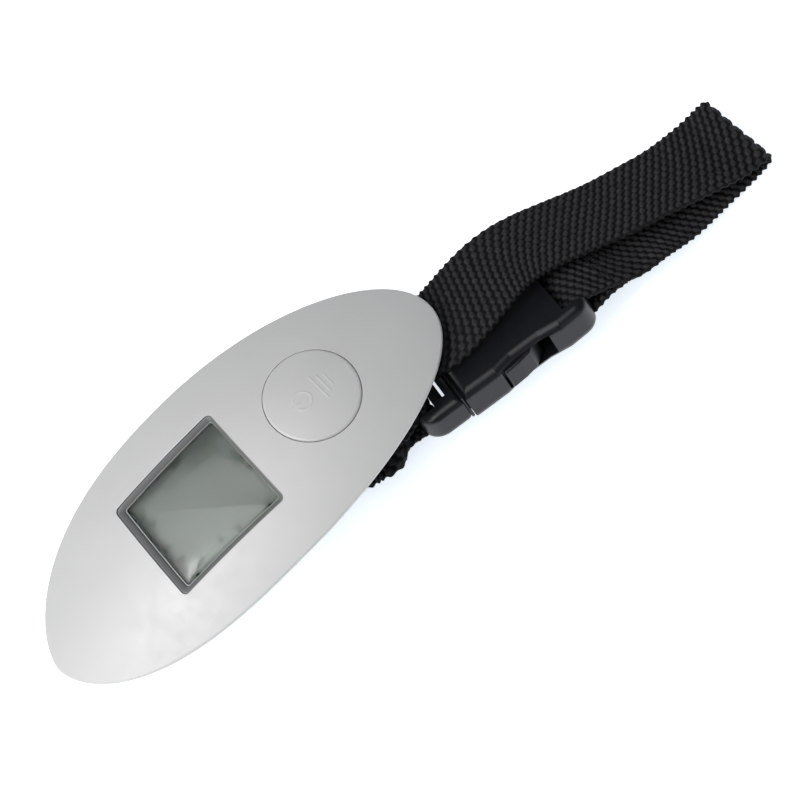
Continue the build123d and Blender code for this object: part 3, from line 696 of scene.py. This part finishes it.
    def build_film(self) -> None:
        """Make the grey-green film that covers the display glass."""
        shape = Shape()
        corners = rounded([(-22.4, -12.1), (4.8, -12.1), (4.8, 12.1), (-22.4, 12.1)], 0.4)
        rows = []
        for inset, height in ((0.0, 0.01), (0.0, 0.10), (0.08, 0.16)):
            level = np.full(len(corners), self.glass_top + height)
            rows.append(shape.ring(np.c_[offset(corners, -inset), level]))
        shape.skin(rows)
        present(shape.object("display_film"), DISPLAY_GLASS, Body.HOUSING)

    def button_relief(self, x: np.ndarray, y: np.ndarray) -> np.ndarray:
        """Height of the raised marks on the button: a ring with a stroke and three short bars."""
        def plateau(distance: np.ndarray, half: float) -> np.ndarray:
            """1 within half a width of a line, falling smoothly to 0 beside it."""
            share = np.clip((half + 0.14 - np.abs(distance)) / 0.28, 0, 1)
            return share * share * (3 - 2 * share)

        ring = plateau(np.hypot(x + 2.2, y) - 2.0, 0.2)
        ring *= 1 - plateau(y, 0.75) * (x < -2.2)
        stroke = plateau(y, 0.18) * plateau(x + 4.0, 1.1)
        bars = sum(plateau(x - place, 0.16) * plateau(y, length) for place, length in
                   ((2.2, 3.2), (3.5, 2.4), (4.8, 1.6)))
        return 0.045 * np.maximum.reduce([ring, stroke, bars])

    def build_button(self) -> None:
        """Make the round button: a low dome with a soft edge, marks on top and a skirt below."""
        shape = Shape()
        spokes = 200
        turn = np.linspace(0, 2 * math.pi, spokes, endpoint=False)
        proud, edge, crown = 0.36, 0.45, 0.3
        radii = np.linspace(0.12, self.button_radius - edge, 88)
        rows = []
        for radius in radii:
            loop = circle(self.button_x, radius, spokes)
            lift = proud + crown * (1 - (radius / self.button_radius) ** 2)
            marks = self.button_relief(radius * np.cos(turn), radius * np.sin(turn))
            rows.append(shape.ring(self.face.on(loop, -lift) + np.c_[0 * turn, 0 * turn, marks]))
        for angle in np.linspace(0, math.pi / 2, 7)[1:]:
            radius = self.button_radius - edge * (1 - math.sin(angle))
            lift = proud + crown * (1 - (radius / self.button_radius) ** 2) - edge * (1 - math.cos(angle))
            rows.append(shape.ring(self.face.on(circle(self.button_x, radius, spokes), -lift)))
        for inset, drop in ((0.0, self.wall + 0.2), (1.2, self.wall), (1.4, 1.2)):
            skirt = circle(self.button_x, self.button_radius - inset, spokes)
            rows.append(shape.ring(self.face.on(skirt, drop)))
        shape.skin(rows)
        present(shape.object("power_button_cap"), SILVER_PAINT, Body.BUTTON, ("power_button",))

    def build(self) -> None:
        """Make every piece of the housing that shows."""
        self.build_cover()
        self.build_bezel()
        self.build_lens()
        self.build_film()
        self.build_button()


# -------- threads
class ThreadTree:
    """A Geometry Nodes tree that turns edges into threads."""

    def __init__(self, finish: Finish) -> None:
        """Build the tree, with the thread's radius as its input.

        Args:
            finish: Surface of the threads.
        """
        tree = bpy.data.node_groups.new("threads_" + finish.name, "GeometryNodeTree")
        tree.interface.new_socket("Geometry", in_out="INPUT", socket_type="NodeSocketGeometry")
        size = tree.interface.new_socket("Thread radius", in_out="INPUT", socket_type="NodeSocketFloat")
        tree.interface.new_socket("Geometry", in_out="OUTPUT", socket_type="NodeSocketGeometry")
        start, curve, profile, sweep, smooth, realize, dress, end = (tree.nodes.new(kind) for kind in (
            "NodeGroupInput", "GeometryNodeMeshToCurve", "GeometryNodeCurvePrimitiveCircle",
            "GeometryNodeCurveToMesh", "GeometryNodeSetShadeSmooth", "GeometryNodeRealizeInstances",
            "GeometryNodeSetMaterial", "NodeGroupOutput"))
        profile.inputs["Resolution"].default_value = 6
        sweep.inputs["Fill Caps"].default_value = True
        dress.inputs["Material"].default_value = finish.material()
        for source, leaves, target, enters in (
            (start, "Geometry", curve, "Mesh"), (start, "Thread radius", profile, "Radius"),
            (curve, "Curve", sweep, "Curve"), (profile, "Curve", sweep, "Profile Curve"),
            (sweep, "Mesh", smooth, "Geometry"), (smooth, "Geometry", realize, "Geometry"),
            (realize, "Geometry", dress, "Geometry"), (dress, "Geometry", end, "Geometry"),
        ):
            tree.links.new(source.outputs[leaves], target.inputs[enters])
        self.tree, self.radius_input = tree, size.identifier

    def threads(self, name: str, runs: list[np.ndarray], radius: float) -> bpy.types.Object:
        """Make threads along runs of points.

        Args:
            name: Name of the piece.
            runs: Each an array of shape (n, 3), in millimetres.
            radius: Radius of the thread, in millimetres.

        Returns:
            The piece, a plain mesh.
        """
        points, edges = [], []
        for run in runs:
            edges += [(len(points) + i, len(points) + i + 1) for i in range(len(run) - 1)]
            points += [tuple(p * METRE) for p in run]
        mesh = bpy.data.meshes.new(name + "_paths")
        mesh.from_pydata(points, edges, [])
        piece = bpy.data.objects.new(name, mesh)
        bpy.context.scene.collection.objects.link(piece)
        grow = piece.modifiers.new("threads", "NODES")
        grow.node_group = self.tree
        grow[self.radius_input] = radius * METRE
        bpy.context.view_layer.update()
        made = bpy.data.meshes.new_from_object(piece.evaluated_get(bpy.context.evaluated_depsgraph_get()))
        piece.modifiers.clear()
        piece.data = made
        return piece


# -------- strap
@dataclass(frozen=True)
class BuckleFrame:
    """Where the buckle lies: its own axes in the model's frame."""

    start: Triple = (36.7, -8.1, 9.75)
    yaw: float = -8.8
    roll: float = 25.0

    @property
    def forward(self) -> np.ndarray:
        """Direction along the buckle."""
        yaw = math.radians(self.yaw)
        return np.array([math.cos(yaw), math.sin(yaw), 0])

    @property
    def normal(self) -> np.ndarray:
        """Direction out of the buckle's upper broad face."""
        yaw, roll = math.radians(self.yaw), math.radians(self.roll)
        side = np.array([-math.sin(yaw), math.cos(yaw), 0])
        return side * math.sin(roll) + np.array([0, 0, math.cos(roll)])

    @property
    def across(self) -> np.ndarray:
        """Direction across the buckle."""
        return np.cross(self.normal, self.forward)

    def place(self, along: float, across: float, height: float) -> np.ndarray:
        """A point given along, across and above the buckle's middle."""
        return np.array(self.start) + along * self.forward + across * self.across + height * self.normal


@dataclass
class Strap:
    """One length of webbing: round latch bar, through the ring, over the fold and round the socket bar."""

    buckle: BuckleFrame
    width: float = 20.0
    thickness: float = 1.4
    warp_pitch: float = 20.0 / 12
    weft_pitch: float = 0.93
    step: float = 0.23
    ring_bar: Pair = (17.0, 4.2)
    bar_distance: float = 2.06
    fold_x: float = 129.0
    fold_radius: float = 1.9
    fold_y: float = -15.6
    fold_lift: float = 0.35
    yarn_height: float = 0.40
    yarn_scatter: float = 0.12
    yarn_half: float = 0.6
    yarn_lean: float = 0.24
    yarn_spread: float = 1.35
    yarn_sink: float = 0.06
    selvedge: float = 0.55
    scallop: float = 0.28

    def stop(self, x: float, y: float, z: float, roll: float) -> np.ndarray:
        """One place on the route, with the webbing rolled about its length so that its -Y edge rises."""
        roll = math.radians(roll)
        return np.array([x, y, z, 0, math.cos(roll), -math.sin(roll)])

    def beside_bar(self, along: float, height: float) -> np.ndarray:
        """One place on the route given in the buckle's own frame."""
        return np.r_[self.buckle.place(along, 0, height), self.buckle.across]

    def route(self) -> np.ndarray:
        """Places that the middle of the webbing goes through, from one sewn end to the other."""
        bar_x, bar_z = self.ring_bar
        latch_eye = [(-4.6, -0.15), (-2.2, 1.1), (0.0, 2.2), (1.3, 2.35), (3.0, 1.85), (3.85, 0.8),
                     (3.85, -0.8), (3.0, -1.85), (1.3, -2.35), (0.0, -2.3), (-2.2, -2.15), (-4.4, -2.3)]
        stops = [self.beside_bar(*place) for place in latch_eye]
        stops += [self.stop(*place) for place in (
            (29.2, -8.1, 5.9, 16), (26.0, -6.6, 4.3, 10), (23.0, -5.2, 3.1, 5), (20.4, -3.8, 2.4, 2),
            (17.8, -1.6, 2.14, 0))]
        stops += [
            self.stop(bar_x + self.bar_distance * math.cos(t), 0, bar_z + self.bar_distance * math.sin(t), 0)
            for t in np.radians((-90, -135, -180, -225, -270))
        ]
        stops += [self.stop(*place) for place in (
            (17.8, 0, 6.26, 0), (24, 1, 9.6, 2), (32, 2.4, 13.6, 6), (40, 1, 15.3, 8.5), (46, -2.4, 15.8, 10),
            (52, -4.2, 16.2, 11.5), (58, -4.2, 16.4, 13), (64, -3.5, 16.1, 14.5), (70, -2.8, 15.3, 17.5),
            (76, -3, 14.1, 18.5), (84, -4.9, 12.2, 18.5), (91, -7.1, 10.4, 19.5), (98, -9.4, 9, 20),
            (105, -11.2, 7.9, 20), (112, -13.1, 7, 18.5), (119, -14.6, 6.2, 12), (125, -15.4, 5.2, 4))]
        middle = self.thickness / 2 + self.fold_radius + self.fold_lift
        stops += [
            self.stop(self.fold_x + self.fold_radius * math.cos(t), self.fold_y,
                      middle + self.fold_radius * math.sin(t), 0)
            for t in np.radians((90, 45, 0, -45, -90))
        ]
        stops += [self.stop(*place) for place in (
            (122, -15.9, 1.55, 1), (114, -16.3, 2.2, 5), (106, -16.9, 3.6, 11), (98, -17, 6, 18),
            (90, -16.8, 8.6, 23))]
        socket_eye = [(50.5, 0.6), (47.4, 1.5), (44.6, 2.3), (43.0, 2.35), (40.9, 2.0), (39.65, 1.0),
                      (39.65, -1.0), (40.9, -2.0), (43.0, -2.35), (44.6, -2.3), (47.2, -1.6), (50.6, -0.95),
                      (53.5, -1.1)]
        return np.array(stops + [self.beside_bar(*place) for place in socket_eye])

    @staticmethod
    def smooth(stops: np.ndarray, step: float) -> np.ndarray:
        """Evenly spaced places along the natural cubic spline through the stops.

        Args:
            stops: Array of shape (n, 6): position and direction across.
            step: Distance between the places, in millimetres.

        Returns:
            Array of shape (m, 6).
        """
        gaps = np.linalg.norm(np.diff(stops[:, :3], axis=0), axis=1)
        knots = np.r_[0, np.cumsum(gaps)]
        count = len(stops)
        system, right = np.eye(count), np.zeros((count, stops.shape[1]))
        slopes = np.diff(stops, axis=0) / gaps[:, None]
        for i in range(1, count - 1):
            system[i, i - 1:i + 2] = gaps[i - 1], 2 * (gaps[i - 1] + gaps[i]), gaps[i]
            right[i] = 6 * (slopes[i] - slopes[i - 1])
        bend = np.linalg.solve(system, right)
        fine = np.linspace(0, knots[-1], int(knots[-1] / step) * 4)
        span = np.clip(np.searchsorted(knots, fine, side="right") - 1, 0, count - 2)
        h, t = gaps[span][:, None], (fine - knots[span])[:, None]
        curve = (
            stops[span] + t * (slopes[span] - h * (2 * bend[span] + bend[span + 1]) / 6)
            + t**2 * bend[span] / 2 + t**3 * (bend[span + 1] - bend[span]) / (6 * h)
        )
        length = np.r_[0, np.cumsum(np.linalg.norm(np.diff(curve[:, :3], axis=0), axis=1))]
        even = np.linspace(0, length[-1], int(length[-1] / step) + 1)
        return np.column_stack([np.interp(even, length, column) for column in curve.T])

    def weave(self, along: np.ndarray, across: np.ndarray, side: int) -> np.ndarray:
        """How far the yarns stand out of one side of the webbing.

        Args:
            along: Distance along the webbing.
            across: Distance across it from the middle.
            side: 1 for the upper side and -1 for the lower.

        Returns:
            Height above the middle of the yarns, in millimetres.
        """
        u, v = along / self.weft_pitch, across / self.warp_pitch - 0.5
        column = np.round(v)
        float_share = 0.5 + 0.5 * side * np.cos(math.pi * (u + column))
        row = np.round((u + column) / 2 + 0.25 - 0.25 * side)
        cell = np.sin(column * 12.9898 + row * 78.233) * 43758.5453
        chance = cell - np.floor(cell)
        swing = self.yarn_lean * side * np.sin(math.pi * (u + column))
        lean = v - column - swing - self.yarn_scatter * (chance - 0.5)
        yarn = np.sqrt(np.clip(1 - np.square(lean / self.yarn_half), 0, 1))
        height = self.yarn_height + self.yarn_scatter * chance
        return height * np.minimum(1, self.yarn_spread * float_share) * yarn - self.yarn_sink

    def strand(self, name: str, places: np.ndarray, first: int, last: int) -> bpy.types.Object:
        """Make one stretch of webbing with its yarns.

        Args:
            name: Name of the piece.
            places: Places along the whole webbing.
            first: Place where the stretch begins.
            last: Place where it ends.

        Returns:
            The piece.
        """
        middle, across = places[:, :3], places[:, 3:]
        forward = np.gradient(middle, axis=0)
        forward /= np.linalg.norm(forward, axis=1)[:, None]
        across = across - forward * np.sum(across * forward, axis=1)[:, None]
        across /= np.linalg.norm(across, axis=1)[:, None]
        normal = np.cross(forward, across)
        half, edge = self.width / 2, self.selvedge
        columns = np.linspace(-half + edge, half - edge, int((self.width - 2 * edge) / self.step))
        shape = Shape()
        rows, shade_lifts = [], []
        for i in range(first, last + 1):
            u = i * self.step
            scallop = self.scallop * math.cos(math.pi * u / self.weft_pitch)
            section, lift = [], []
            for side in (1, -1):
                order = columns if side == 1 else columns[::-1]
                height = self.weave(np.full_like(order, u), order, side)
                offsets = side * (self.thickness / 2 - 0.28 + height)
                section += list(zip(order, offsets))
                # The lift share sets the painted shade of the webbing: low in the dips between yarns, 0.35 on
                # the selvedge rounds.
                lift += list((height + 0.14) / 0.5)
                turn = np.radians((60, 25, 0, -25, -60))
                reach = side * (half - edge + (edge + side * scallop) * np.cos(turn))
                section += list(zip(reach, side * (self.thickness / 2 - 0.15) * np.sin(turn)))
                lift += [0.35] * len(turn)
            section = np.array(section)
            points = middle[i] + section[:, :1] * across[i] + section[:, 1:] * normal[i]
            rows.append(shape.ring(points))
            shade_lifts += lift
        shape.skin(rows)
        piece = shape.object(name)
        # The lift attribute carries the painted shade into the webbing material.
        attribute = piece.data.attributes.new("lift", "FLOAT", "POINT")
        attribute.data.foreach_set("value", np.array(shade_lifts, np.float32))
        return piece

    def bar_tack(self, alongs: tuple[float, ...], height: float, tail_height: float) -> list[np.ndarray]:
        """Stitches that sew the turned-back end to the webbing, as short runs through both layers.

        Args:
            alongs: Places of the rows along the buckle.
            height: Height of the upper side of the layers.
            tail_height: Height of the lower side.

        Returns:
            One run of points for each stitch that shows.
        """
        runs = []
        for along in alongs:
            for column in np.arange(-8.4, 8.5, 1.4):
                for level in (height, tail_height):
                    sag = 0.22 if level == height else -0.22
                    stitch = ((-0.55, -sag), (-0.2, 0), (0.2, 0), (0.55, -sag))
                    run = [self.buckle.place(along, column + y, level + dip) for y, dip in stitch]
                    runs.append(np.array(run))
        return runs

    def stray_fibres(self, places: np.ndarray, first: int, last: int, count: int,
                     seed: int) -> list[np.ndarray]:
        """Loose hairs that stand off the edges of the webbing."""
        chance = np.random.default_rng(seed)
        runs = []
        for _ in range(count):
            i = int(chance.integers(first, last - 8))
            side = chance.choice((-1, 1))
            root = places[i, :3] + places[i, 3:] * side * (self.width / 2 - 0.2)
            out = places[i, 3:] * side
            along = places[i + 4, :3] - places[i, :3]
            along /= np.linalg.norm(along)
            up = np.cross(along, places[i, 3:])
            reach, rise, run = (chance.uniform(*span) for span in ((0.15, 0.5), (0.3, 0.6), (1.0, 3.0)))
            share = np.linspace(0, 1, 7)[:, None]
            runs.append(root + along * run * share + out * reach * np.sin(2.2 * share) + up * rise * share**2)
        return runs

    def build(self) -> None:
        """Make the three stretches of webbing, their stitches and their loose fibres."""
        places = self.smooth(self.route(), self.step)
        x = places[:, 0]
        fold = int(np.argmax(x))
        wrap = int(np.argmin(x[:fold]))
        split = wrap + int(np.argmax(x[wrap:fold] > self.ring_bar[0] + 6))
        last = len(places) - 1
        spans = {
            "webbing_short_strand": (0, split, "folded", "strap_ring", ("webbing_short", "webbing_wrap")),
            "webbing_upper_strand": (split, fold, "folded", "strap_ring", ("webbing_upper",)),
            "webbing_lower_strand": (fold, last, "folded", "buckle_socket", ("webbing_far",)),
        }
        for name, (first, end, held, rest, nodes) in spans.items():
            piece = self.strand(name, places, first, end)
            if name == "webbing_upper_strand":
                piece.data.materials.append(BLACK_WEBBING.material())
                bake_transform(piece)
                present(piece, BLACK_WEBBING, None, nodes)
            else:
                body = Body.STRAP if "short" in name else Body.SOCKET
                present(piece, BLACK_WEBBING, body, nodes)
        threads = ThreadTree(BLACK_THREAD)
        stitch_radius, fibre_radius, fibre_seed = 0.16, 0.02, 7
        fibres = self.stray_fibres(places, split + 40, split + 130, 9, fibre_seed)
        for name, body, runs, radius in (
            ("latch_bar_tack", Body.STRAP, self.bar_tack((-3.8, -2.9), 1.45, -3.0), stitch_radius),
            ("socket_bar_tack", Body.SOCKET, self.bar_tack((48.6, 49.8, 51.0), 1.75, -2.15), stitch_radius),
            ("loose_fibres", Body.STRAP, fibres, fibre_radius),
        ):
            present(threads.threads(name, runs, radius), BLACK_THREAD, body)


@dataclass
class BuckleTrim:
    """The parts of the buckle that are finer than its moulded halves: finger pads, collar and bridge."""

    buckle: BuckleFrame

    def slab(self, name: str, corners: list[Pair], half: float, edge: float,
             corner: float) -> bpy.types.Object:
        """Make a flat piece with softly rounded edges.

        Args:
            name: Name of the piece.
            corners: Its outline, anticlockwise, along and across the buckle.
            half: Half its thickness.
            edge: Radius of its edges.
            corner: Radius of the corners of its outline.

        Returns:
            The piece.
        """
        shape = Shape()
        outline = rounded(corners, corner)
        rows = []
        for side in (-1, 1):
            turns = np.linspace(0, math.pi / 2, 6)
            for turn in turns if side < 0 else turns[::-1]:
                loop = offset(outline, -edge * (1 - math.sin(turn)))
                height = side * (half - edge * (1 - math.cos(turn)))
                rows.append(shape.ring(np.array([self.buckle.place(*point, height) for point in loop])))
        shape.skin(rows)
        piece = shape.object(name)
        keep_edges(piece)
        return piece

    def build(self) -> None:
        """Make the pads on the prongs, and the collar, shoulder and bridge of the latch."""
        pad = [(20.9, 11.4), (25.0, 9.6), (29.9, 8.6), (30.6, 10.4), (27.6, 12.9), (24.6, 13.6), (20.9, 13.9)]
        for name, body, side in (
            ("finger_pad_left", Body.LEFT_PRONG, 1), ("finger_pad_right", Body.RIGHT_PRONG, -1)
        ):
            corners = [(along, side * across) for along, across in pad[::side]]
            present(self.slab(name, corners, 2.72, 0.5, 0.45), BLACK_ACETAL, body)
        for name, start, end, reach, half, edge, corner in (
            ("latch_collar", 9.9, 12.6, 11.3, 2.6, 0.25, 0.5),
            ("latch_shoulder", 10.1, 10.8, 12.9, 3.3, 0.15, 0.3),
            ("latch_bridge", 5.9, 7.35, 9.7, 2.4, 0.3, 0.3),
        ):
            corners = [(start, -reach), (end, -reach), (end, reach), (start, reach)]
            present(self.slab(name, corners, half, edge, corner), BLACK_ACETAL, Body.STRAP)


# -------- carried-over nodes
def dress_nodes(nodes: dict[str, bpy.types.Object]) -> None:
    """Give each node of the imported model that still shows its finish.

    Args:
        nodes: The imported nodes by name.
    """
    for finish, names in NODES_WITH_FINISH.items():
        for name in names:
            materials = nodes[name].data.materials
            materials.clear()
            materials.append(finish.material())
            LOG.info("%s: dressed as %s", name, finish.name)


# -------- studio
@dataclass
class Studio:
    """Pale floor, soft lights and the camera."""

    camera_place: Triple = (0.01878, -0.15668, 0.41463)
    camera_turn: Triple = (16.255, 12.481, -43.312)
    lens: float = 90.0
    floor_half: float = 3.0
    floor_glow: float = 0.8

    def build_floor(self) -> None:
        """Make the floor just under the object."""
        shape = Shape()
        reach = self.floor_half / METRE
        corners = [(-reach, -reach, 0), (reach, -reach, 0), (reach, reach, 0), (-reach, reach, 0)]
        shape.cap(shape.ring(np.array(corners)))
        floor = shape.object("studio_floor", closed=False)
        sheet = NodeSheet("floor_paper")
        paper = sheet.between(sheet.noise(300.0), (0.9, 0.9, 0.9), (0.92, 0.92, 0.92))
        sheet.join(paper, sheet.shader.inputs["Base Color"])
        sheet.shader.inputs["Roughness"].default_value = 0.9
        sheet.shader.inputs["Specular IOR Level"].default_value = 0.1
        sheet.shader.inputs["Emission Color"].default_value = (0.86, 0.93, 1.0, 1)
        sheet.shader.inputs["Emission Strength"].default_value = self.floor_glow
        floor.data.materials.append(sheet.material)

    def add_light(self, name: str, place: Triple, size: float, power: float,
                  aim: Triple = (0.03, 0, 0.015)) -> None:
        """Add a square soft light that faces a point.

        Args:
            name: Name of the light.
            place: Where it stands, in metres.
            size: Its side, in metres.
            power: Its power, in watts.
            aim: The point that it faces.
        """
        data = bpy.data.lights.new(name, "AREA")
        data.energy, data.size = power, size
        light = bpy.data.objects.new(name, data)
        light.location = place
        light.rotation_euler = (Vector(aim) - Vector(place)).to_track_quat("-Z", "Y").to_euler()
        bpy.context.scene.collection.objects.link(light)

    def build(self) -> None:
        """Make the floor, the lights, the surroundings and the camera."""
        self.build_floor()
        self.add_light("overhead", (-0.25, 0.15, 1.2), 1.1, 8.6)
        self.add_light("left_key", (-0.9, -0.1, 0.75), 0.7, 5.4)
        self.add_light("front_fill", (0.25, -1.0, 0.5), 0.6, 0.6)
        self.add_light("lens_glint", (-0.56, 0.02, 1.1), 0.28, 2.6, (-0.02, -0.01, 0.03))
        scene = bpy.context.scene
        scene.world = bpy.data.worlds.new("surroundings")
        scene.world.use_nodes = True
        back = scene.world.node_tree.nodes["Background"]
        back.inputs["Color"].default_value = (0.9, 0.95, 1.0, 1)
        back.inputs["Strength"].default_value = 0.12
        scene.view_settings.view_transform = "Standard"
        data = bpy.data.cameras.new("studio_camera")
        data.lens, data.sensor_width = self.lens, 36.0
        data.clip_start, data.clip_end = 0.01, 20.0
        camera = bpy.data.objects.new("studio_camera", data)
        camera.location = self.camera_place
        camera.rotation_euler = [math.radians(a) for a in self.camera_turn]
        scene.collection.objects.link(camera)
        scene.camera = camera


def main() -> None:
    """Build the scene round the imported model."""
    logging.basicConfig(level=logging.INFO, format="%(name)s: %(message)s")
    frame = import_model()
    Studio().build()
    Housing().build()
    Strap(BuckleFrame()).build()
    BuckleTrim(BuckleFrame()).build()
    dress_nodes(frame["nodes"])


if __name__ == "__main__":
    main()
